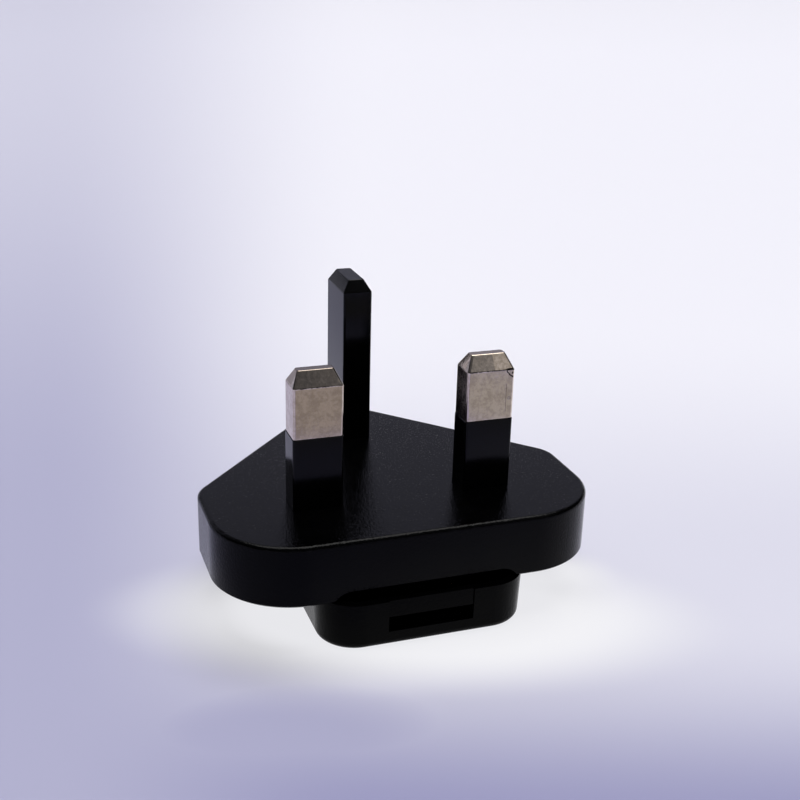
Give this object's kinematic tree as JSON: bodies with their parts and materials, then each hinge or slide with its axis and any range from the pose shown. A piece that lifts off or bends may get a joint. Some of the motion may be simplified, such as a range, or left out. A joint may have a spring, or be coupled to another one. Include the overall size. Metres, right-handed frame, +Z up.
{
  "type": "plug adapter head",
  "caption": "Clip-on British plug head: flat face plate with two sleeved metal pins and a plastic earth pin, on a boss that clips into a wall adapter.",
  "frame": {"origin": "on the boss's flat underside, midway between the live and neutral pins", "axes": "+Z up along the pins, +Y towards the earth pin, +X from the live pin to the neutral pin"},
  "size_m": [0.0492, 0.0428, 0.0367],
  "materials": {
    "textured_plastic": "fine spark-eroded satin",
    "smooth_plastic": "smooth",
    "pin_metal": "nickel plated, slightly tarnished",
    "spring_metal": "bare spring bronze"
  },
  "bodies": {
    "root": {"face_plate": "textured_plastic", "rear_cover": "textured_plastic", "earth_pin": "smooth_plastic", "live_pin": "pin_metal", "neutral_pin": "pin_metal", "live_sleeve": "smooth_plastic", "neutral_sleeve": "smooth_plastic", "live_contact": "spring_metal", "neutral_contact": "spring_metal"}
  },
  "joints": []
}
